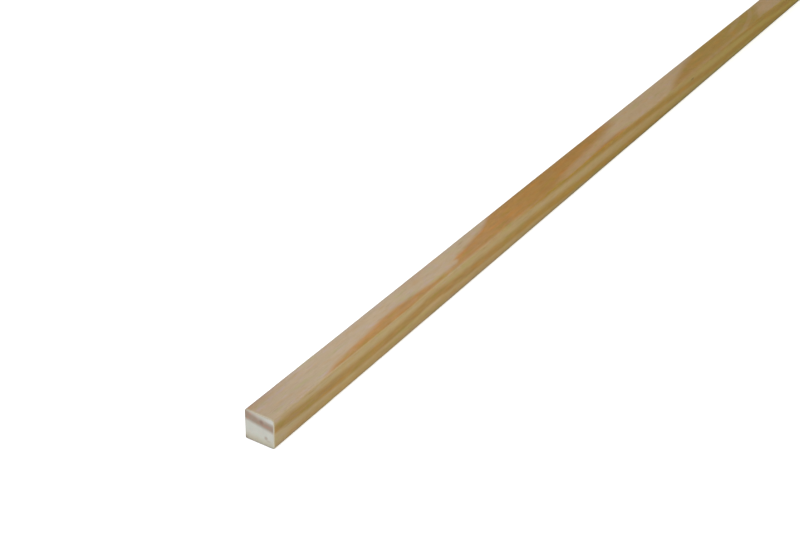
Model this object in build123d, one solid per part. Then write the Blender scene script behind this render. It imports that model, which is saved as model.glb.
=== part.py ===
"""Square wood strip: one length of planed pine, square in section, sawn square at both ends.

The frame: +X runs along the length, +Z is up, and the origin is the middle of the underside, so the
strip lies on the plane Z = 0. All sizes are in millimetres.
"""
import os

from build123d import *

# Driving sizes of the planed stock
SECTION_WIDTH = 10.0    # across the strip, along Y
SECTION_HEIGHT = 10.0   # from the underside to the upper face, along Z
LENGTH = 1000.0         # from one sawn end to the other, along X
ARRIS_RADIUS = 0.5      # the four long arrises are eased by a light sanding; the sawn ends stay sharp


def strip_section():
    """The planed section: a square with its four corners eased, centred over the origin."""
    section_plane = Plane(origin=(-LENGTH / 2, 0, SECTION_HEIGHT / 2), x_dir=(0, 1, 0), z_dir=(1, 0, 0))
    return section_plane * RectangleRounded(SECTION_WIDTH, SECTION_HEIGHT, ARRIS_RADIUS)


def square_strip():
    """The section run straight from the near sawn end to the far one."""
    return extrude(strip_section(), amount=LENGTH)


os.makedirs("parts", exist_ok=True)
export_step(square_strip(), "parts/square_strip.step")
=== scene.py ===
import math

import bmesh
import bpy
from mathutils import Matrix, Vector


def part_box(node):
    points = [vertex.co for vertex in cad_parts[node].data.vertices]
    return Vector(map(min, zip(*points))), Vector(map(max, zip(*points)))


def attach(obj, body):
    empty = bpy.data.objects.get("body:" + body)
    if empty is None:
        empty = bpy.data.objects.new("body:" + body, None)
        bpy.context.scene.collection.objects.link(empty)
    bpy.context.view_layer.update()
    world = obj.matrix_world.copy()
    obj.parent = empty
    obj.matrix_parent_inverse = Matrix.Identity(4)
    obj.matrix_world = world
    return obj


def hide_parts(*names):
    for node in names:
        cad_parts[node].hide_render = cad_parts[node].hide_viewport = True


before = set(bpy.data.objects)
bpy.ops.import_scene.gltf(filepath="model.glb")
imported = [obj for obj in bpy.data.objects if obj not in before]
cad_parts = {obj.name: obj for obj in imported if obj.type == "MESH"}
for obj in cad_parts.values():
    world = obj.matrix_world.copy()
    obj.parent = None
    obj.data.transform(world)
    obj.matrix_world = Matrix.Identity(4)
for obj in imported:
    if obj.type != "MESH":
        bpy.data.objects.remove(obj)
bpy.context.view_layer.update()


# The strip
# One length of pine, ripped square, planed on its four faces and sawn off at both ends. Its four
# long arrises are eased with sandpaper, and the saw leaves the rims of the ends a little broken.

strip_low, strip_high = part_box("square_strip")
strip_size = strip_high - strip_low
strip_middle = (strip_low + strip_high) / 2

arris_radius = 0.0005
arris_steps = 4
end_break = 0.00006       # the broken rim where the saw went through
face_strips = 16          # cells across each planed face
rough_length = 100        # first cut of the length into lengths of 10 mm
fine_length = 8           # each of those cut again
touching = 1e-6           # points nearer than this lie at the same place


def pick_edges(piece, wanted):
    """Leaves the piece in edit mode with only the wanted edges selected."""
    bpy.ops.object.mode_set(mode="EDIT")
    bpy.ops.mesh.select_mode(type="EDGE")
    bpy.ops.mesh.select_all(action="DESELECT")
    bpy.ops.object.mode_set(mode="OBJECT")
    spots = piece.data.vertices
    for edge in piece.data.edges:
        first, second = edge.vertices
        edge.select = wanted(spots[first].co, spots[second].co)
    bpy.ops.object.mode_set(mode="EDIT")


def runs_along(first, second, shortest):
    """True for an edge that runs along the strip and is longer than shortest."""
    sideways = abs(second.y - first.y) + abs(second.z - first.z)
    return abs(second.x - first.x) > shortest and sideways < touching


def runs_end_to_end(first, second):
    """True for an edge that runs along the whole strip."""
    return runs_along(first, second, strip_size.x / 2)


def runs_across(first, second):
    """True for an edge that runs right across a planed face, at one of the ends."""
    return (second - first).length > strip_size.z / 2 and not runs_end_to_end(first, second)


def joins_end_points(first, second):
    """True for an edge whose two points lie on the sawn ends: on their rims, or from one to the other."""
    nearest = min(abs(first.x - strip_middle.x), abs(second.x - strip_middle.x))
    return nearest > strip_size.x / 2 - touching


bpy.ops.object.select_all(action="DESELECT")
bpy.ops.mesh.primitive_cube_add(size=1.0, location=strip_middle)
strip = bpy.context.active_object
strip.name = "planed_strip"
strip.scale = strip_size
bpy.ops.object.transform_apply(location=True, rotation=True, scale=True)

# Ease the long arrises. Then break the rims of the ends and, with them, the edges that the easing left.
pick_edges(strip, runs_end_to_end)
bpy.ops.mesh.bevel(offset=arris_radius, segments=arris_steps, profile=0.5)
pick_edges(strip, joins_end_points)
bpy.ops.mesh.bevel(offset=end_break, segments=1)

# Cut each planed face into narrow strips, and fill the two ends with a square grid that starts at the
# upper left corner.
pick_edges(strip, runs_across)
bpy.ops.mesh.subdivide(number_cuts=face_strips - 1)
for end_x in (strip_low.x, strip_high.x):
    pick_edges(strip, lambda a, b: abs(a.x - end_x) < touching and abs(b.x - end_x) < touching)
    bpy.ops.mesh.delete(type="ONLY_FACE")
    rim = bmesh.from_edit_mesh(strip.data)
    rim.select_history.clear()
    on_rim = [v for v in rim.verts if abs(v.co.x - end_x) < touching]
    corner = max(on_rim, key=lambda v: (round(v.co.y + v.co.z, 7), v.co.z))
    rim.select_history.add(corner)
    for edge in rim.edges:
        edge.select = all(abs(v.co.x - end_x) < touching for v in edge.verts)
    bmesh.update_edit_mesh(strip.data)
    bpy.ops.mesh.fill_grid(span=face_strips + arris_steps, offset=0)

# Cut the length so that the planed faces can carry their relief.
pick_edges(strip, runs_end_to_end)
bpy.ops.mesh.subdivide(number_cuts=rough_length - 1)
rough_step = strip_size.x / rough_length
pick_edges(strip, lambda a, b: runs_along(a, b, rough_step / 2))
bpy.ops.mesh.subdivide(number_cuts=fine_length - 1)
bpy.ops.mesh.select_all(action="SELECT")
bpy.ops.mesh.normals_make_consistent(inside=False)
bpy.ops.object.mode_set(mode="OBJECT")


# The wood of the strip
# Fast-grown pine with wide rings that lie almost flat in the section: pale, soft earlywood, and
# orange-brown latewood that starts sharply at each ring's outer side and fades towards the pith.

def tint(red, green, blue):
    """A colour as it is seen on a screen, 0 to 255, as the linear colour that a shader takes."""
    linear = []
    for level in (red, green, blue):
        share = level / 255
        linear.append(share / 12.92 if share <= 0.04045 else ((share + 0.055) / 1.055) ** 2.4)
    return (*linear, 1.0)


def feed(tree, socket, value):
    """Sets a socket to a plain value, or links another node's output to it."""
    if isinstance(value, bpy.types.NodeSocket):
        tree.links.new(value, socket)
    else:
        socket.default_value = value


def sum_of(tree, operation, *values):
    """One Math node on numbers or outputs."""
    node = tree.nodes.new("ShaderNodeMath")
    node.operation = operation
    for socket, value in zip(node.inputs, values):
        feed(tree, socket, value)
    return node.outputs[0]


def product(tree, *values):
    """All the values times each other."""
    result = values[0]
    for value in values[1:]:
        result = sum_of(tree, "MULTIPLY", result, value)
    return result


def rest_of(tree, share):
    """What a share leaves of 1."""
    return sum_of(tree, "SUBTRACT", 1.0, share)


def vector_of(tree, operation, *values):
    """One Vector Math node on vectors or outputs."""
    node = tree.nodes.new("ShaderNodeVectorMath")
    node.operation = operation
    for socket, value in zip(node.inputs, values):
        feed(tree, socket, value)
    return node


def ease(tree, value, start, stop, low=0.0, high=1.0):
    """A smooth step from low at start to high at stop."""
    node = tree.nodes.new("ShaderNodeMapRange")
    node.interpolation_type = "SMOOTHSTEP"
    for socket, setting in zip(node.inputs, (value, start, stop, low, high)):
        feed(tree, socket, setting)
    return node.outputs[0]


def speckle(tree, place, lengths, detail=2.0, roughness=0.5, shift=(0, 0, 0)):
    """Noise from -1 to 1 whose spots measure lengths, in millimetres, along x, y and z."""
    stretched = vector_of(tree, "MULTIPLY_ADD", place, [1 / length for length in lengths], shift)
    noise = tree.nodes.new("ShaderNodeTexNoise")
    noise.inputs["Scale"].default_value = 1.0
    noise.inputs["Detail"].default_value = detail
    noise.inputs["Roughness"].default_value = roughness
    tree.links.new(stretched.outputs[0], noise.inputs["Vector"])
    return sum_of(tree, "MULTIPLY_ADD", noise.outputs[0], 2.0, -1.0)


def spot(tree, place, centre, radii, core=0.25):
    """1 in the core of an ellipsoid, in millimetres, that eases to 0 at its skin."""
    away = vector_of(tree, "SUBTRACT", place, centre)
    scaled = vector_of(tree, "DIVIDE", away.outputs[0], radii)
    reach = vector_of(tree, "LENGTH", scaled.outputs[0])
    return ease(tree, reach.outputs["Value"], core, 1.0, 1.0, 0.0)


def split(tree, place):
    """The three coordinates of a place: along, across and up."""
    node = tree.nodes.new("ShaderNodeSeparateXYZ")
    feed(tree, node.inputs[0], place)
    return node.outputs


def blend_colours(tree, share, first, second, way="MIX"):
    """The first colour where share is 0, and the second, or the two multiplied, where it is 1."""
    node = tree.nodes.new("ShaderNodeMix")
    node.data_type = "RGBA"
    node.blend_type = way
    feed(tree, node.inputs["Factor"], share)
    feed(tree, node.inputs[6], first)
    feed(tree, node.inputs[7], second)
    return node.outputs[2]


def two_washes(tree, noise, edge, colour, high_wash, low_wash, share=1.0):
    """A colour times one wash where the noise is high, and times the other where it is low."""
    begins, full = edge
    high = sum_of(tree, "MULTIPLY", ease(tree, noise, begins, full), share)
    colour = blend_colours(tree, high, colour, high_wash, "MULTIPLY")
    low = sum_of(tree, "MULTIPLY", ease(tree, noise, -begins, -full), share)
    return blend_colours(tree, low, colour, low_wash, "MULTIPLY")


def times(tree, vector, amount):
    """A colour or a vector times a varying amount."""
    node = vector_of(tree, "SCALE", vector)
    feed(tree, node.inputs["Scale"], amount)
    return node.outputs[0]


def roughen(tree, shader, relief):
    """Bumps a shader's surface by a relief in millimetres."""
    bump = tree.nodes.new("ShaderNodeBump")
    bump.inputs["Distance"].default_value = 0.001
    tree.links.new(relief, bump.inputs["Height"])
    tree.links.new(bump.outputs[0], shader.inputs["Normal"])


def in_millimetres(tree, position):
    """A position in metres as millimetres from the near end, from the middle and from the underside."""
    start = (-1000 * strip_low.x, -1000 * strip_middle.y, -1000 * strip_low.z)
    return vector_of(tree, "MULTIPLY_ADD", position, (1000, 1000, 1000), start).outputs[0]


# The growth rings that the strip cuts through, from the lowest up. For each one: how deep its sharp
# start lies below the right upper arris at places along the strip, how far it falls for each
# millimetre towards the right side, how thick its latewood is, and how dark. Lengths are in millimetres.
growth_rings = (
    ("lowest", 0.05, 6.0, 0.62, (
        (0, 15.5), (6, 14.4), (13, 13.6), (30, 13.3), (90, 12.9), (125, 13.2), (150, 14.0), (180, 13.0),
        (240, 12.2), (300, 13.3), (360, 14.9),
    )),
    ("first", 0.16, 3.3, 1.0, (
        (0, 4.7), (5, 4.9), (13, 5.7), (24, 6.1), (45, 6.45), (60, 6.35), (76, 5.9), (86, 5.25), (96, 5.9),
        (110, 6.5), (125, 6.8), (142, 7.2), (160, 7.4), (180, 8.1), (210, 9.1), (254, 10.2), (284, 11.0),
        (330, 13.0),
    )),
    ("second", 0.03, 2.9, 1.0, (
        (0, -1.6), (12, -0.5), (22, -0.03), (30, 0.045), (39, 0.078), (53, 0.108), (68, 0.128),
        (77, 0.11), (86, 0.08), (104, 0.07), (112, 0.078), (125, 0.118), (133, 0.15), (140, 0.22),
        (150, 0.36), (164, 0.8), (180, 1.38), (200, 1.85), (224, 2.2), (239, 2.65), (254, 3.15),
        (284, 4.3), (314, 5.7), (329, 6.6), (344, 7.25), (370, 7.45), (405, 8.0), (428, 9.2),
        (460, 10.8), (540, 13.5),
    )),
    ("third", 0.05, 3.3, 1.0, (
        (240, -1.2), (278, -0.25), (297, 0.1), (317, 0.31), (340, 0.5), (358, 0.75), (374, 1.3), (404, 2.2),
        (419, 3.1), (440, 4.6), (480, 6.0), (540, 8.3), (600, 10.6), (660, 12.9),
    )),
    ("fourth", 0.08, 2.4, 1.0, (
        (430, -1.5), (470, -0.4), (520, 0.25), (575, 0.6), (640, 1.5), (720, 3.6), (800, 6.2), (900, 8.4),
        (1000, 9.8),
    )),
    ("fifth", 0.07, 2.4, 1.0, ((640, -1.5), (720, -0.3), (790, 0.3), (850, 0.5), (900, 1.2), (1000, 3.4))),
)
upper_skin = (-0.8, -0.1)           # between these depths the side's figure gives way to the upper face's
ring_wanders = 0.01                 # how far a ring strays, slowly and in ripples
ring_ripples = 0.014
latewood_strays = 0.35              # how far the inner side of the latewood strays
latewood_fades = (0.65, 1.4)        # where it fades, as shares of its thickness
start_blur = 0.042                  # how soft a ring's sharp start is on the upper face
start_blur_span = (0.0, -0.5)       # the depth over which that changes to the sides' softness
side_blur = (0.85, 1.1)             # which grows along the strip
side_blur_span = (110.0, 220.0)
near_end_thins = 0.72               # the latewood thins towards the near end, most at the right
near_end_span = (10.0, 0.0)
near_end_across = (4.5, 0.5)
left_brown = 0.45                   # a brown edge on the left of the upper face, at the near end
left_brown_across = (2.8, 4.8)
left_brown_ends = (26.0, 4.0)

# A pale tongue on the upper face, where the second ring's latewood thins.
tongue_thins = 1.15
tongue_leans = 0.045                # how far it moves left for each millimetre along
tongue_crosses = 217.0              # where its sides lie as given next
tongue_left = (2.0, -2.0)
tongue_right = (-4.9, -3.3)
tongue_grows = (130.0, 195.0)
tongue_ends = (290.0, 260.0)

# The brown flames on the upper face, where the second and the third ring come out through it.
flame_step = (103.5, 110.0, 0.08)   # where the second ring drops a step, and how far
flame_ragged = 3.0                  # how far the edge of that step strays along the strip
flame_ends = {"second": (227.0, 258.0, 1.1), "third": (402.0, 432.0, 1.2)}
flame_tail = 1.5                    # how far to the left the last brown of a flame lies
flame_tail_width = (1.6, 0.3)
flame_tail_longer = 8.0
second_lasts = (-5.0, -3.4, 0.2, 1.0)    # it thins less along the right arris
third_thins_at = -1.4               # it thins most here
third_thins_width = (3.8, 1.5)
third_softer = 0.07                 # its start is this much softer

# Thin false rings in the third ring's latewood.
false_ring_gap = 0.98
false_ring_pale = 0.5               # where the first pale line between them lies
false_ring_fall = 0.13              # how much more than the ring they fall towards the right
false_ring_crest = (-0.2, 1.0)      # the part of each wave that is pale
false_ring_depth = 0.36
false_ring_starts = (0.7, 1.1)      # above the ring's start
false_ring_grows = (372.0, 386.0)
false_ring_ends = (446.0, 426.0)

# Two lengths of the right arris where the brown is rubbed off the upper face: across, from and to.
rubbed_near = ((-3.7, -5.0, 0.0, 0.6), (72.0, 95.0), (172.0, 140.0))
rubbed_far = ((-2.2, -5.0, 0.0, 0.5), (285.0, 310.0), (410.0, 375.0))


def ring_start(tree, along, points):
    """A smooth line through the points: how deep the ring lies at each place along the strip."""
    first, last = points[0][0], points[-1][0]
    shallow = min(depth for where, depth in points)
    deep = max(depth for where, depth in points)
    curve = tree.nodes.new("ShaderNodeFloatCurve")
    share = sum_of(tree, "DIVIDE", sum_of(tree, "SUBTRACT", along, first), last - first)
    feed(tree, curve.inputs["Value"], share)
    curve.mapping.extend = "HORIZONTAL"
    line = curve.mapping.curves[0]
    for number, (where, depth) in enumerate(points):
        place = ((where - first) / (last - first), (depth - shallow) / (deep - shallow))
        if number < 2:
            line.points[number].location = place
        else:
            line.points.new(*place)
    for point in line.points:
        point.handle_type = "AUTO_CLAMPED"
    curve.mapping.update()
    return sum_of(tree, "MULTIPLY_ADD", curve.outputs[0], deep - shallow, shallow)


def latewood_share(tree, place):
    """1 in the dark latewood and 0 in the pale earlywood, at a place in millimetres."""
    along, across, up = split(tree, place)
    from_right = sum_of(tree, "ADD", across, 1000 * strip_size.y / 2)
    below_top = sum_of(tree, "SUBTRACT", up, 1000 * strip_size.z)
    on_top = ease(tree, below_top, *upper_skin)
    wander = speckle(tree, place, (40, 5, 5), detail=1.0)
    ripple = speckle(tree, place, (7, 1.2, 1.2), detail=2.0)
    uneven = sum_of(tree, "MULTIPLY", wander, ring_wanders)
    uneven = sum_of(tree, "MULTIPLY_ADD", ripple, ring_ripples, uneven)
    height = sum_of(tree, "ADD", below_top, uneven)

    crossed = sum_of(tree, "SUBTRACT", along, tongue_crosses)
    leaning = sum_of(tree, "MULTIPLY_ADD", crossed, -tongue_leans, across)
    tongue = product(tree, ease(tree, leaning, *tongue_left), ease(tree, leaning, *tongue_right), on_top,
                     ease(tree, along, *tongue_grows), ease(tree, along, *tongue_ends), tongue_thins)
    soft = speckle(tree, place, (18, 2.2, 2.2), detail=3.0, shift=(5, 1, 8))
    thinner = sum_of(tree, "MULTIPLY_ADD", soft, -latewood_strays, tongue)
    at_near_end = ease(tree, along, *near_end_span, 0.0, near_end_thins)
    thinner = sum_of(tree, "MULTIPLY_ADD", at_near_end, ease(tree, across, *near_end_across), thinner)

    blur_below = ease(tree, along, *side_blur_span, *side_blur)
    blur = ease(tree, below_top, *start_blur_span, start_blur, blur_below)
    from_tail = sum_of(tree, "ABSOLUTE", sum_of(tree, "SUBTRACT", across, flame_tail))
    longer = ease(tree, from_tail, *flame_tail_width, 0.0, flame_tail_longer)
    along_tail = sum_of(tree, "SUBTRACT", along, longer)
    share = product(tree, ease(tree, across, *left_brown_across, 0.0, left_brown),
                    ease(tree, along, *left_brown_ends), on_top)

    for name, fall, thick, dark, points in growth_rings:
        depth = ring_start(tree, along, points)
        soften = blur
        if name == "second":
            ragged = sum_of(tree, "MULTIPLY_ADD", speckle(tree, place, (6, 0.9, 0.9)), flame_ragged, along)
            begins, ends, drops = flame_step
            depth = sum_of(tree, "ADD", depth, ease(tree, ragged, begins, ends, 0.0, drops))
        if name == "third":
            soften = sum_of(tree, "ADD", blur, third_softer)
        above = sum_of(tree, "MULTIPLY_ADD", from_right, -fall, sum_of(tree, "ADD", height, depth))
        start = ease(tree, above, sum_of(tree, "MULTIPLY", soften, -1.0), soften, 0.0, dark)
        used = sum_of(tree, "ADD", above, thinner)
        if name in flame_ends:
            begins, ends, thins = flame_ends[name]
            closing = ease(tree, along_tail, begins, ends, 0.0, thins)
            if name == "second":
                closing = sum_of(tree, "MULTIPLY", closing, ease(tree, across, *second_lasts))
            else:
                aside = sum_of(tree, "ABSOLUTE", sum_of(tree, "SUBTRACT", across, third_thins_at))
                closing = sum_of(tree, "MULTIPLY", closing, ease(tree, aside, *third_thins_width))
            used = sum_of(tree, "MULTIPLY_ADD", closing, on_top, used)
        begins, ends = latewood_fades
        band = sum_of(tree, "MULTIPLY", start, ease(tree, used, begins * thick, ends * thick, 1.0, 0.0))
        if name == "third":
            turn = sum_of(tree, "MULTIPLY_ADD", from_right, -false_ring_fall, above)
            turn = sum_of(tree, "SUBTRACT", turn, false_ring_pale)
            wave = sum_of(tree, "COSINE", sum_of(tree, "MULTIPLY", turn, 2 * math.pi / false_ring_gap))
            lines = product(tree, ease(tree, wave, *false_ring_crest, 0.0, false_ring_depth),
                            ease(tree, along, *false_ring_grows), ease(tree, along, *false_ring_ends),
                            ease(tree, above, *false_ring_starts))
            band = sum_of(tree, "MULTIPLY", band, rest_of(tree, lines))
        share = sum_of(tree, "MAXIMUM", share, band)

    for rubbed_across, rubbed_from, rubbed_to in (rubbed_near, rubbed_far):
        rubbed = product(tree, ease(tree, across, *rubbed_across), ease(tree, along, *rubbed_from),
                         ease(tree, along, *rubbed_to), on_top)
        share = sum_of(tree, "MULTIPLY", share, rest_of(tree, rubbed))
    return share


def grain_group():
    """The node group that both finishes of the strip share: rings, fibres and resin canals."""
    tree = bpy.data.node_groups.new("pine_grain", "ShaderNodeTree")
    tree.interface.new_socket("Place", in_out="INPUT", socket_type="NodeSocketVector")
    for name in ("Latewood", "Fibre", "Canal", "Mottle"):
        tree.interface.new_socket(name, in_out="OUTPUT", socket_type="NodeSocketFloat")
    entry = tree.nodes.new("NodeGroupInput")
    leave = tree.nodes.new("NodeGroupOutput")
    place = entry.outputs["Place"]
    feed(tree, leave.inputs["Latewood"], latewood_share(tree, place))
    feed(tree, leave.inputs["Fibre"], speckle(tree, place, (22, 0.22, 0.22), detail=3.0, roughness=0.6))
    dashes = speckle(tree, place, (5.0, 0.26, 0.26), detail=0.0, shift=(3.1, 7.7, 1.3))
    feed(tree, leave.inputs["Canal"], ease(tree, dashes, 0.46, 0.62))
    feed(tree, leave.inputs["Mottle"], speckle(tree, place, (16, 2.4, 2.4), detail=2.0, shift=(9, 4, 2)))
    return tree


def wood_material(name, grain):
    """A material, with its tree and shader, the place in millimetres, and the grain that all share."""
    material = bpy.data.materials.new(name)
    material.use_nodes = True
    tree = material.node_tree
    shader = tree.nodes["Principled BSDF"]
    place = in_millimetres(tree, tree.nodes.new("ShaderNodeTexCoord").outputs["Object"])
    group = tree.nodes.new("ShaderNodeGroup")
    group.node_tree = grain
    tree.links.new(place, group.inputs["Place"])
    return material, tree, shader, place, group.outputs


pine_grain = grain_group()

# The planed faces: bare wood straight off the planer, matt, with fine fibres along the length. The wood
# grows yellower and darker from the near end to the middle, partly its own colour and partly painted shade,
# and the right side is darker and yellower with painted warm shade.
earlywood = tint(188, 168, 144)
latewood_near = tint(178, 137, 87)
latewood_middle = tint(170, 130, 70)
latewood_far = tint(165, 142, 71)
# Painted light: the right side's own copy of the latewood colours, for the warmer light on that side.
sidelit_latewood_near = tint(171, 138, 92)
sidelit_latewood_far = tint(171, 139, 71)
latewood_turns = (100.0, 190.0)
latewood_yellows = (250.0, 410.0)
orange_wash = (1.06, 0.965, 0.86, 1)
pink_wash = (1.0, 1.03, 1.18, 1)
mottle_edge = (0.02, 0.4)
canal_brown = tint(140, 98, 56)
canal_share = 0.3
fleck_brown = tint(104, 80, 50)           # one dark fleck on the right side
fleck_share = 0.8
fleck_place = (317, -5, 7.35)
fleck_radii = (2.6, 0.6, 0.55)
# Partly the wood's own yellowing and partly painted shade: darker and yellower away from the near end, where
# the light falls off.
yellow_and_shade_length = (0.82, 0.722, 0.582, 1)
yellow_and_shade_span = (-60.0, 450.0)
yellow_ends = (860.0, 540.0)
right_turn = (-4.35, -5.0)                # where the upper face turns into the right side
# Painted warm shade on the right side: darker and yellower than the upper face, more so further along.
side_shade_near = (0.94, 0.935, 0.745, 1)
side_shade_far = (0.895, 0.945, 0.38, 1)
side_shade_starts = (0.0, 35.0, 0.6, 1.0)
side_shade_span = (200.0, 470.0)
side_shade_ends = (760.0, 560.0)
spared_shade_span = (150.0, 180.0, 0.0, 0.45)   # from here on, the right side takes less of its painted shade under its upper arris
spared_shade_height = (8.6, 10.0)
olive = (0.91, 1.022, 0.78, 1)
orange = (1.03, 0.937, 0.81, 1)
hue_edge = (0.03, 0.35)
earlywood_hue = 0.65                      # the share of those two that the earlywood takes
blush_wash = (1.015, 1.0, 1.22, 1)
blush_edge = (0.05, 0.4)
fibre_tone = 0.06                         # how much lighter and darker the fibres and patches are
mottle_tone = 0.075
fine_tone = 0.09
cloudy_tone = 0.24
near_end_dims = (0.0, 45.0, 0.885, 1.0)
foot_shade_along = (90.0, 330.0, 0.03, 0.17)     # painted shade: the right side darkens towards its foot, more so further along
foot_shade_height = (2.6, 0.3)
# painted shade: a darker line along the foot of the right side, next to the sheet
foot_shade_edge = (1.3, 0.4, 0.0, 0.14)
low_gold = (1.04, 1.04, 0.88, 1)
low_gold_ends = (110.0, 15.0)
# painted shade: a grey wash on the foot of the right side, further along
grey_low_shade = (0.87, 0.97, 1.1, 1)
grey_low_shade_starts = (90.0, 220.0)
low_height = (2.3, 0.9)
arris_shade_reach = (4.4, 4.85)                 # painted shade on the arrises, in patches, but not on the upper right one
arris_shade_patches = (-0.35, 0.3, 0.2, 0.52)
arris_shade_thins = (4.8, 4.97, 1.0, 0.2)
unshaded_clean_across = (0.0, -1.0)
unshaded_clean_height = (5.0, 6.0)
handled_wash = (0.92, 1.0, 1.32, 1)
handled_aside = (3.0, 4.7)
handled_height = (2.9, 4.4)
handled_earlywood = 0.3
torn_fibre = tint(188, 181, 159)          # pale torn fibres where the saw came through
torn_share = 0.55
torn_reach = (0.6, 0.3)
torn_strays = 0.15
earlywood_rough = 0.66
latewood_smoother = 0.12
fibre_rough = 0.06
planed_sheen = 0.08
knife_pitch = 1.7                         # between the marks of the planer's knives
knife_depth = 0.0015
fibre_depth = 0.01

planed, tree, shader, place, grain = wood_material("planed_pine", pine_grain)
along, across, up = split(tree, place)
right_side = ease(tree, across, *right_turn)
still_yellow = ease(tree, along, *yellow_ends)
turned = ease(tree, along, *latewood_turns)
late = blend_colours(tree, turned, latewood_near, latewood_middle)
yellowed = sum_of(tree, "MULTIPLY", ease(tree, along, *latewood_yellows), still_yellow)
late = blend_colours(tree, yellowed, late, latewood_far)
# Painted light: the right side takes its lit copy of the latewood colours.
sidelit_late = blend_colours(tree, turned, sidelit_latewood_near, sidelit_latewood_far)
late = blend_colours(tree, right_side, late, sidelit_late)
late = two_washes(tree, grain["Mottle"], mottle_edge, late, orange_wash, pink_wash)
colour = blend_colours(tree, grain["Latewood"], earlywood, late)
colour = blend_colours(tree, sum_of(tree, "MULTIPLY", grain["Canal"], canal_share), colour, canal_brown)
fleck = spot(tree, place, fleck_place, fleck_radii)
colour = blend_colours(tree, sum_of(tree, "MULTIPLY", fleck, fleck_share), colour, fleck_brown)
# The wood's own yellowing along the length, with painted shade where the light falls off.
yellowed = sum_of(tree, "MULTIPLY", ease(tree, along, *yellow_and_shade_span), still_yellow)
colour = blend_colours(tree, yellowed, colour, yellow_and_shade_length, "MULTIPLY")

# Painted warm shade on the right side, and the patches of other hues in the wood.
most_side_shade = sum_of(tree, "MULTIPLY", ease(tree, along, *side_shade_span), ease(tree, along, *side_shade_ends))
side_shade = blend_colours(tree, most_side_shade, side_shade_near, side_shade_far)
spared_shade = sum_of(tree, "MULTIPLY", ease(tree, along, *spared_shade_span), ease(tree, up, *spared_shade_height))
side_shading = product(tree, right_side, ease(tree, along, *side_shade_starts), rest_of(tree, spared_shade))
colour = blend_colours(tree, side_shading, colour, side_shade, "MULTIPLY")
hue = speckle(tree, place, (9, 1.9, 1.9), detail=4.0, roughness=0.65, shift=(1, 3, 9))
hue_share = sum_of(tree, "MULTIPLY_ADD", grain["Latewood"], 1 - earlywood_hue, earlywood_hue)
colour = two_washes(tree, hue, hue_edge, colour, olive, orange, hue_share)
blush = speckle(tree, place, (6, 1.3, 1.3), detail=3.0, roughness=0.6, shift=(7, 2, 4))
colour = blend_colours(tree, ease(tree, blush, *blush_edge), colour, blush_wash, "MULTIPLY")

# Light and dark: the fibres, the patches, and painted shade at the foot of the right side and on the
# arrises.
tone = sum_of(tree, "MULTIPLY_ADD", grain["Fibre"], fibre_tone, 1.0)
tone = sum_of(tree, "MULTIPLY_ADD", grain["Mottle"], mottle_tone, tone)
fine = speckle(tree, place, (3.2, 0.75, 0.75), detail=3.0, roughness=0.6, shift=(4, 4, 6))
tone = sum_of(tree, "MULTIPLY_ADD", fine, fine_tone, tone)
cloudy = speckle(tree, place, (8, 1.7, 1.7), detail=4.0, roughness=0.65, shift=(2, 8, 5))
cloudy = sum_of(tree, "MULTIPLY", cloudy, grain["Latewood"])
tone = sum_of(tree, "MULTIPLY_ADD", cloudy, cloudy_tone, tone)
tone = sum_of(tree, "MULTIPLY", tone, ease(tree, along, *near_end_dims))
# Painted shade at the foot of the right side, next to the sheet.
foot_shade = product(tree, ease(tree, up, *foot_shade_height), right_side, ease(tree, along, *foot_shade_along))
foot_shade = sum_of(tree, "MULTIPLY_ADD", ease(tree, up, *foot_shade_edge), right_side, foot_shade)
tone = sum_of(tree, "MULTIPLY", tone, rest_of(tree, foot_shade))
from_middle = sum_of(tree, "ABSOLUTE", sum_of(tree, "SUBTRACT", up, 1000 * strip_size.z / 2))
aside = sum_of(tree, "ABSOLUTE", across)
unshaded_and_clean = sum_of(tree, "MULTIPLY", ease(tree, across, *unshaded_clean_across), ease(tree, up, *unshaded_clean_height))
shaded_and_soiled = rest_of(tree, unshaded_and_clean)
patchy = speckle(tree, place, (12, 3, 3), detail=3.0, shift=(3, 5, 7))
# Painted shade along the arrises, in patches, thinner on the left side; the handled wash below shares the
# mask.
arris_shade = product(tree, ease(tree, aside, *arris_shade_reach), ease(tree, from_middle, *arris_shade_reach),
                ease(tree, patchy, *arris_shade_patches), ease(tree, across, *arris_shade_thins), shaded_and_soiled)
tone = sum_of(tree, "MULTIPLY", tone, rest_of(tree, arris_shade))
colour = times(tree, colour, tone)

# Washes along the foot, the grey one of them painted shade, and along the handled edges, and the torn fibres
# at the near end.
at_foot = sum_of(tree, "MULTIPLY", ease(tree, up, *low_height), right_side)
gilded = sum_of(tree, "MULTIPLY", at_foot, ease(tree, along, *low_gold_ends))
colour = blend_colours(tree, gilded, colour, low_gold, "MULTIPLY")
# Painted shade: a grey wash on the foot of the right side, further along.
low_shade_greyed = sum_of(tree, "MULTIPLY", at_foot, ease(tree, along, *grey_low_shade_starts))
colour = blend_colours(tree, low_shade_greyed, colour, grey_low_shade, "MULTIPLY")
takes_dirt = sum_of(tree, "MULTIPLY_ADD", grain["Latewood"], 1 - handled_earlywood, handled_earlywood)
handled = product(tree, ease(tree, aside, *handled_aside), ease(tree, from_middle, *handled_height), shaded_and_soiled,
                  takes_dirt)
colour = blend_colours(tree, handled, colour, handled_wash, "MULTIPLY")
fuzz = speckle(tree, place, (0.4, 0.5, 0.5), detail=2.0)
torn = ease(tree, sum_of(tree, "MULTIPLY_ADD", fuzz, torn_strays, along), *torn_reach)
colour = blend_colours(tree, sum_of(tree, "MULTIPLY", torn, torn_share), colour, torn_fibre)
tree.links.new(colour, shader.inputs["Base Color"])
rough = sum_of(tree, "MULTIPLY_ADD", grain["Latewood"], -latewood_smoother, earlywood_rough)
rough = sum_of(tree, "MULTIPLY_ADD", grain["Fibre"], fibre_rough, rough)
tree.links.new(rough, shader.inputs["Roughness"])
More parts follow.
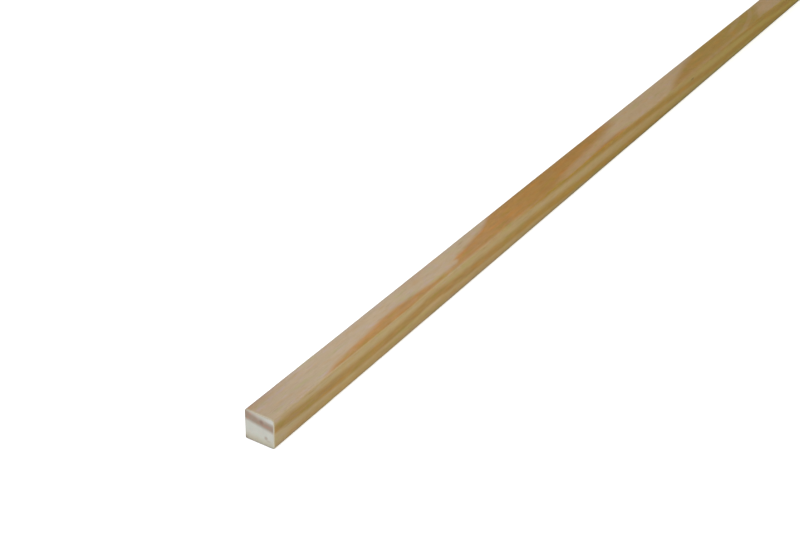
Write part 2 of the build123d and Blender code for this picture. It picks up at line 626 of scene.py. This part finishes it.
shader.inputs["Specular IOR Level"].default_value = planed_sheen
knife_marks = sum_of(tree, "SINE", sum_of(tree, "MULTIPLY", along, 2 * math.pi / knife_pitch))
relief = sum_of(tree, "MULTIPLY", knife_marks, knife_depth)
roughen(tree, shader, sum_of(tree, "MULTIPLY_ADD", grain["Fibre"], fibre_depth, relief))
strip.data.materials.append(planed)

# The sawn ends: the cut ends of the same fibres, whitish and woolly from the saw, with a creamy rim along
# the upper edge and a paler one of torn fibres along the right, and yellower towards the underside.
end_pale = tint(187, 186, 171)
end_low = tint(178, 172, 142)
end_low_height = (3.4, 0.8, 0.0, 0.6)
end_dark = tint(147, 131, 112)
end_red = tint(161, 126, 106)
end_red_edge = (-0.15, 0.55)
end_flush = (1.04, 0.985, 0.96, 1)
end_sallow = (0.97, 1.01, 0.97, 1)
end_flush_edge = (0.03, 0.35)
end_marks = (                             # the colour, share, place and radii of each mark on the end
    (tint(136, 105, 88), 0.6, (0, -0.7, 7.6), (6, 1.0, 1.1)),       # a dark heart in the brown band
    (tint(190, 189, 177), 0.8, (0, -3.7, 8.85), (6, 2.4, 0.85)),    # white saw wool above it
    (tint(128, 116, 98), 0.6, (0, 4.8, 0.4), (6, 0.9, 1.2)),        # a grey lower left corner
)
resin_brown = tint(150, 128, 110)
resin_share = 0.6
resin_place = (0, -2.2, 2.75)
resin_radii = (6, 0.85, 0.9)
resin_tail_share = 0.5
resin_tail_place = (0, -3.0, 2.0)
resin_tail_radii = (6, 1.1, 0.5)
right_rim_reach = (-4.55, -4.8, 0.0, 0.8)
rim_cream = tint(181, 171, 147)
upper_rim_reach = (9.3, 9.75)
upper_rim_across = (4.5, 1.0, 0.4, 0.9)
worn_corner = (0, -5.0, 10.0)             # the upper right corner of the near end is worn round
worn_yellow = tint(174, 158, 122)
worn_share = 0.85
worn_radii = (6, 1.3, 1.3)
cell_tone = 0.06
cloud_tone = 0.08
left_dims = (4.5, 4.9, 1.0, 0.9)
# painted shadow: the foot of the end darker, where it meets the sheet
foot_shadow_dims = (1.0, 0.2, 1.0, 0.82)
sawn_rough = 0.85
cell_rough = 0.08
sawn_sheen = 0.2
blade_centre = (0, 70, -60)               # of the round saw, whose teeth leave arcs
tooth_pitch = 0.8
tooth_depth = 0.008
cell_depth = 0.02

sawn, tree, shader, place, grain = wood_material("sawn_end_grain", pine_grain)
along, across, up = split(tree, place)
pale = blend_colours(tree, ease(tree, up, *end_low_height), end_pale, end_low)
blotch = speckle(tree, place, (9, 1.7, 1.2), detail=2.0, shift=(2, 6, 3))
dark = blend_colours(tree, ease(tree, blotch, *end_red_edge), end_dark, end_red)
colour = blend_colours(tree, grain["Latewood"], pale, dark)
flush = speckle(tree, place, (9, 1.4, 1.1), detail=3.0, roughness=0.6, shift=(4, 1, 6))
colour = two_washes(tree, flush, end_flush_edge, colour, end_flush, end_sallow)
for mark_colour, mark_share, mark_place, mark_radii in end_marks:
    mark = spot(tree, place, mark_place, mark_radii)
    colour = blend_colours(tree, sum_of(tree, "MULTIPLY", mark, mark_share), colour, mark_colour)
resin = spot(tree, place, resin_place, resin_radii)
resin_tail = spot(tree, place, resin_tail_place, resin_tail_radii)
resin = sum_of(tree, "MAXIMUM", resin, sum_of(tree, "MULTIPLY", resin_tail, resin_tail_share))
colour = blend_colours(tree, sum_of(tree, "MULTIPLY", resin, resin_share), colour, resin_brown)
colour = blend_colours(tree, ease(tree, across, *right_rim_reach), colour, torn_fibre)
upper_rim = sum_of(tree, "MULTIPLY", ease(tree, up, *upper_rim_reach), ease(tree, across, *upper_rim_across))
colour = blend_colours(tree, upper_rim, colour, rim_cream)
worn = spot(tree, place, worn_corner, worn_radii)
colour = blend_colours(tree, sum_of(tree, "MULTIPLY", worn, worn_share), colour, worn_yellow)
cells = speckle(tree, place, (3, 0.12, 0.12), detail=2.0, roughness=0.7)
clouds = speckle(tree, place, (9, 2.0, 2.0), detail=2.0, shift=(7, 7, 1))
tone = sum_of(tree, "MULTIPLY_ADD", clouds, cloud_tone, 1.0)
tone = sum_of(tree, "MULTIPLY_ADD", cells, cell_tone, tone)
# Painted shadow along the foot of the end, where it meets the sheet.
tone = product(tree, tone, ease(tree, across, *left_dims), ease(tree, up, *foot_shadow_dims))
colour = times(tree, colour, tone)
tree.links.new(colour, shader.inputs["Base Color"])
rough = sum_of(tree, "MULTIPLY_ADD", cells, cell_rough, sawn_rough)
tree.links.new(rough, shader.inputs["Roughness"])
shader.inputs["Specular IOR Level"].default_value = sawn_sheen
from_blade = vector_of(tree, "SUBTRACT", place, blade_centre)
from_blade = vector_of(tree, "MULTIPLY", from_blade.outputs[0], (0, 1, 1))
from_blade = vector_of(tree, "LENGTH", from_blade.outputs[0]).outputs["Value"]
saw_marks = sum_of(tree, "SINE", sum_of(tree, "MULTIPLY", from_blade, 2 * math.pi / tooth_pitch))
relief = sum_of(tree, "MULTIPLY", saw_marks, tooth_depth)
roughen(tree, shader, sum_of(tree, "MULTIPLY_ADD", cells, cell_depth, relief))
strip.data.materials.append(sawn)
for face in strip.data.polygons:
    face.material_index = 1 if abs(face.normal.x) > 0.5 else 0

# The relief, in millimetres and all of it inwards: the planer leaves the soft earlywood a little lower
# than the hard latewood, handling has worn and nicked the arrises, and a few dents lie in the faces.
earlywood_sinks = 0.02
faces_wave = 0.012
arris_reach = (4.2, 4.9)
arrises_wear = (-0.3, 0.6, 0.0, 0.05)     # from and to which level of their noise, and how deep
arrises_nick = (0.42, 0.62, 0.0, 0.10)
faces_dent = (0.56, 0.72, 0.0, 0.05)
corner_wears = 0.25
corner_radii = (7, 1.5, 1.5)

tree = bpy.data.node_groups.new("planed_relief", "GeometryNodeTree")
for way in ("INPUT", "OUTPUT"):
    tree.interface.new_socket("Geometry", in_out=way, socket_type="NodeSocketGeometry")
entry = tree.nodes.new("NodeGroupInput")
leave = tree.nodes.new("NodeGroupOutput")
place = in_millimetres(tree, tree.nodes.new("GeometryNodeInputPosition").outputs[0])
along, across, up = split(tree, place)
softness = rest_of(tree, latewood_share(tree, place))
wave = sum_of(tree, "MULTIPLY_ADD", speckle(tree, place, (14, 1.8, 1.8)), 0.5, 0.5)
sunk = sum_of(tree, "MULTIPLY", wave, faces_wave)
sunk = sum_of(tree, "MULTIPLY_ADD", softness, earlywood_sinks, sunk)
dents = speckle(tree, place, (7, 3, 3), detail=0.0, shift=(2, 9, 4))
sunk = sum_of(tree, "ADD", sunk, ease(tree, dents, *faces_dent))
from_middle = sum_of(tree, "ABSOLUTE", sum_of(tree, "SUBTRACT", up, 1000 * strip_size.z / 2))
aside = sum_of(tree, "ABSOLUTE", across)
on_arris = sum_of(tree, "MULTIPLY", ease(tree, aside, *arris_reach), ease(tree, from_middle, *arris_reach))
wear = speckle(tree, place, (25, 4, 4), detail=3.0, shift=(8, 2, 5))
nicks = speckle(tree, place, (3.5, 2, 2), detail=1.0, shift=(6, 6, 1))
lost = sum_of(tree, "ADD", ease(tree, wear, *arrises_wear), ease(tree, nicks, *arrises_nick))
sunk = sum_of(tree, "MULTIPLY_ADD", on_arris, lost, sunk)
sunk = sum_of(tree, "MULTIPLY_ADD", spot(tree, place, worn_corner, corner_radii), corner_wears, sunk)
outward = tree.nodes.new("GeometryNodeInputNormal").outputs[0]
settle = tree.nodes.new("GeometryNodeSetPosition")
tree.links.new(entry.outputs[0], settle.inputs["Geometry"])
tree.links.new(times(tree, outward, sum_of(tree, "MULTIPLY", sunk, -0.001)), settle.inputs["Offset"])
tree.links.new(settle.outputs[0], leave.inputs[0])

smooth_below = math.radians(35)
bpy.ops.object.select_all(action="DESELECT")
strip.select_set(True)
bpy.context.view_layer.objects.active = strip
strip.modifiers.new("relief", "NODES").node_group = tree
bpy.ops.object.modifier_apply(modifier="relief")
bpy.ops.object.shade_smooth_by_angle(angle=smooth_below)

# The faces unrolled for baked textures: each of the four long faces in two halves, one row above the
# other, and the two ends side by side above them.
face_rows = 8
row_height = 0.107
row_gap = 0.004
end_square = 0.11
sheet_edge = 0.003

unrolled = strip.data.uv_layers.new(name="OFBake")
for face in strip.data.polygons:
    middle = face.center - strip_low
    half = 0 if middle.x < strip_size.x / 2 else 1
    for corner in face.loop_indices:
        point = strip.data.vertices[strip.data.loops[corner].vertex_index].co - strip_low
        shares = [point[axis] / strip_size[axis] for axis in range(3)]
        if abs(face.normal.x) > 0.5:
            right = sheet_edge + half * (end_square + row_gap) + shares[1] * end_square
            rise = sheet_edge + face_rows * (row_height + row_gap) + shares[2] * end_square
        else:
            upright = abs(face.normal.z) < abs(face.normal.y)
            outer = face.normal.y if upright else face.normal.z
            row = 4 * upright + 2 * (outer > 0) + half
            right = sheet_edge + (2 * shares[0] - half) * (1 - 2 * sheet_edge)
            rise = sheet_edge + row * (row_height + row_gap) + shares[2 if upright else 1] * row_height
        unrolled.data[corner].uv = (right, rise)

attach(strip, "root")
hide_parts("square_strip")


# The white sheet that the strip lies on
# Plain paper, wide enough to fill the view. It looks white to the camera and keeps the shadow.

floor_size = 8.0
floor_gap = 0.0002            # keeps the sheet clear of the strip's underside
paper_grey = (0.8, 0.8, 0.8, 1)
paper_glow = 0.6              # what the sheet lacks of white under this light


def seen_from_outside(tree):
    """1 on what the camera sees, also in a reflection or through glass, and 0 on what lights the strip."""
    path = tree.nodes.new("ShaderNodeLightPath")
    seen = sum_of(tree, "MAXIMUM", path.outputs["Is Camera Ray"], path.outputs["Is Glossy Ray"])
    return sum_of(tree, "MAXIMUM", seen, path.outputs["Is Transmission Ray"])


bpy.ops.object.select_all(action="DESELECT")
bpy.ops.mesh.primitive_plane_add(size=floor_size, location=(0, 0, strip_low.z - floor_gap))
floor = bpy.context.active_object
floor.name = "floor"
paper = bpy.data.materials.new("white_paper")
paper.use_nodes = True
tree = paper.node_tree
shader = tree.nodes["Principled BSDF"]
shader.inputs["Base Color"].default_value = paper_grey
shader.inputs["Roughness"].default_value = 0.9
shader.inputs["Specular IOR Level"].default_value = 0.0
shader.inputs["Emission Color"].default_value = (1, 1, 1, 1)
glow = sum_of(tree, "MULTIPLY", seen_from_outside(tree), paper_glow)
tree.links.new(glow, shader.inputs["Emission Strength"])
floor.data.materials.append(paper)


# The light
# Soft cool daylight from a window beyond the near end, the pale warm walls of the room all round, and
# a little warm light from the right. The camera sees white in place of the walls.

wall_cream = (1.0, 0.985, 0.77, 1)
wall_strength = 0.67

room = bpy.data.worlds.new("room")
bpy.context.scene.world = room
room.use_nodes = True
tree = room.node_tree
walls = tree.nodes["Background"]
walls.inputs["Color"].default_value = wall_cream
walls.inputs["Strength"].default_value = wall_strength
backdrop = tree.nodes.new("ShaderNodeBackground")
backdrop.inputs["Color"].default_value = (1, 1, 1, 1)
backdrop.inputs["Strength"].default_value = 1.0
either = tree.nodes.new("ShaderNodeMixShader")
tree.links.new(seen_from_outside(tree), either.inputs[0])
tree.links.new(walls.outputs[0], either.inputs[1])
tree.links.new(backdrop.outputs[0], either.inputs[2])
tree.links.new(either.outputs[0], tree.nodes["World Output"].inputs["Surface"])


def soft_light(name, place, aim, width, power, colour):
    """A square soft light at place that faces aim."""
    bpy.ops.object.light_add(type="AREA", location=place)
    lamp = bpy.context.active_object
    lamp.name = name
    lamp.rotation_euler = (Vector(aim) - Vector(place)).to_track_quat("-Z", "Y").to_euler()
    lamp.data.size = width
    lamp.data.energy = power
    lamp.data.color = colour


near_end = Vector((strip_low.x, 0, 0))
window_place = near_end + Vector((-0.9, 0.0, 0.67))
window_width = 0.6
window_power = 9.6            # watts
window_blue = (0.64, 0.68, 1.0)
soft_light("window", window_place, near_end, window_width, window_power, window_blue)
right_place = near_end + Vector((0.0, -0.6, 0.2))
right_width = 0.4
right_power = 0.8             # watts
right_amber = (1.0, 0.88, 0.55)
soft_light("right_wall", right_place, near_end, right_width, right_power, right_amber)


# The camera
# It looks down on the near end along the strip, from the right of it.

camera_place = near_end + Vector((-0.2377342, -0.1844039, 0.2283429))
camera_heading = 30.6725      # degrees from the strip's length, towards its left side
camera_dip = 29.9509          # degrees below level
camera_roll = 2.0438          # degrees
focal_pixels = 1337.77
image_width = 800             # pixels

bpy.ops.object.camera_add(location=camera_place)
camera = bpy.context.active_object
camera.data.sensor_fit = "HORIZONTAL"
camera.data.lens = focal_pixels * camera.data.sensor_width / image_width
camera.data.clip_start = 0.01
camera.rotation_euler = (math.radians(90 - camera_dip), 0, math.radians(camera_heading - 90))
camera.rotation_euler.rotate_axis("Z", math.radians(camera_roll))
bpy.context.scene.camera = camera
bpy.context.scene.view_settings.view_transform = "Standard"
